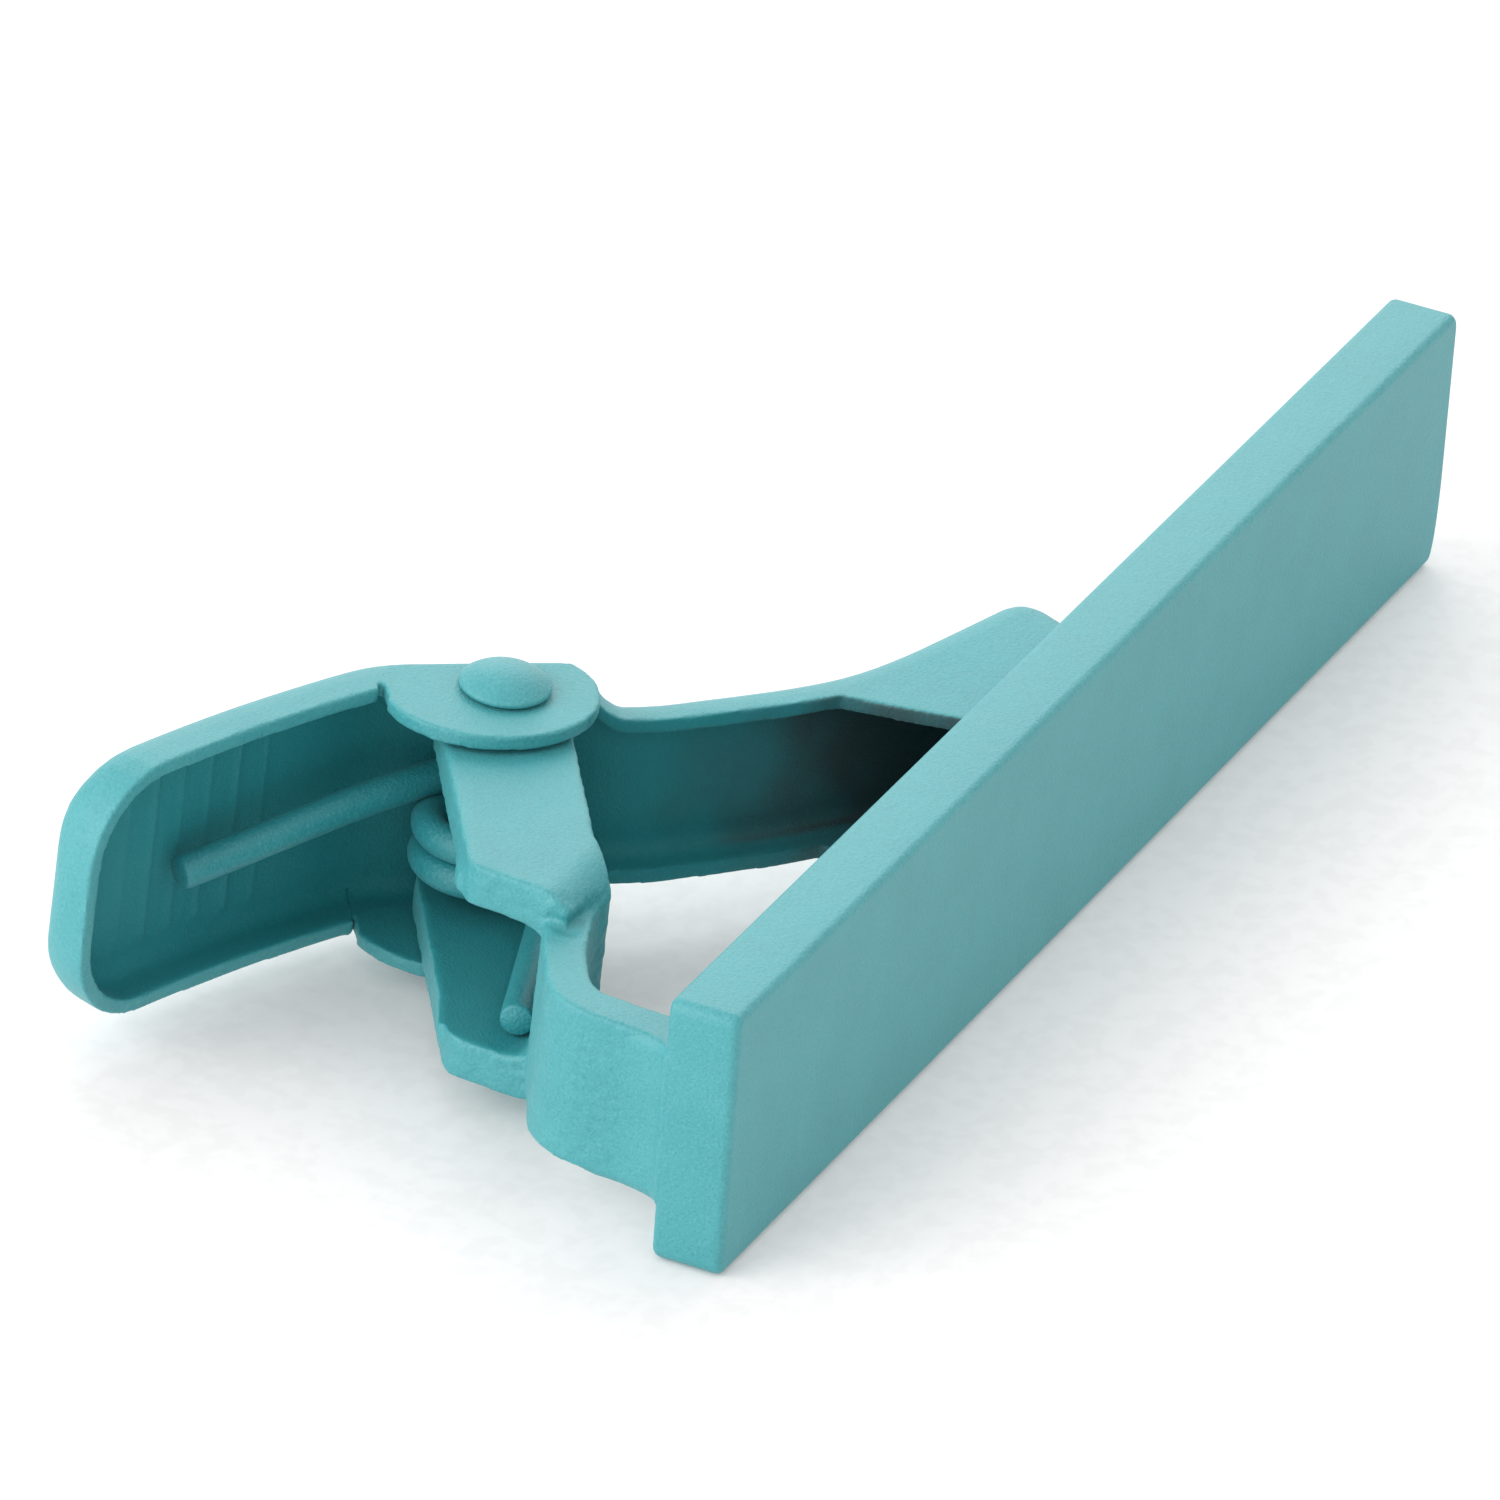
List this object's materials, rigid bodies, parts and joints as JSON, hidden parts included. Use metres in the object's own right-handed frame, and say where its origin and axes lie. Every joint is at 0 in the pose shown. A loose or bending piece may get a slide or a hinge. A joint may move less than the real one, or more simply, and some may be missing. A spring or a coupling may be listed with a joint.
{
  "type": "tie clip",
  "caption": "Sprung tie clip: a flat bar with a pinch clasp behind one end, whose lever turns on a rivet to grip cloth against the bar.",
  "frame": {"origin": "centre of the bar's flat front face", "axes": "+X along the bar, away from the clasp's end; +Y from the front face towards the clasp behind the bar; +Z across the bar's width, up as the clip lies on its side"},
  "size_m": [0.0382, 0.0169, 0.0073],
  "materials": {
    "bar": "fine matte sprayed paint",
    "solder_fillet": "fine matte sprayed paint over solder",
    "bracket": "fine matte sprayed paint",
    "rivet": "fine matte sprayed paint",
    "torsion_spring": "thin matte sprayed paint on spring wire",
    "lever": "fine matte sprayed paint"
  },
  "bodies": {
    "frame": {"bar": "bar", "solder_fillet": "solder_fillet", "bracket": "bracket", "rivet": "rivet", "torsion_spring": "torsion_spring"},
    "lever": {"lever": "lever"}
  },
  "joints": [
    {"name": "lever_pivot", "type": "hinge", "parent": "frame", "child": "lever", "pos_m": [-0.00939, 0.01047, 0.00046], "axis": [0, -0.0523, 0.9986], "range_deg": [0, 25], "stiffness_Nm_per_rad": 0.05, "springref_deg": -20.05, "deforming": ["torsion_spring"]}
  ]
}
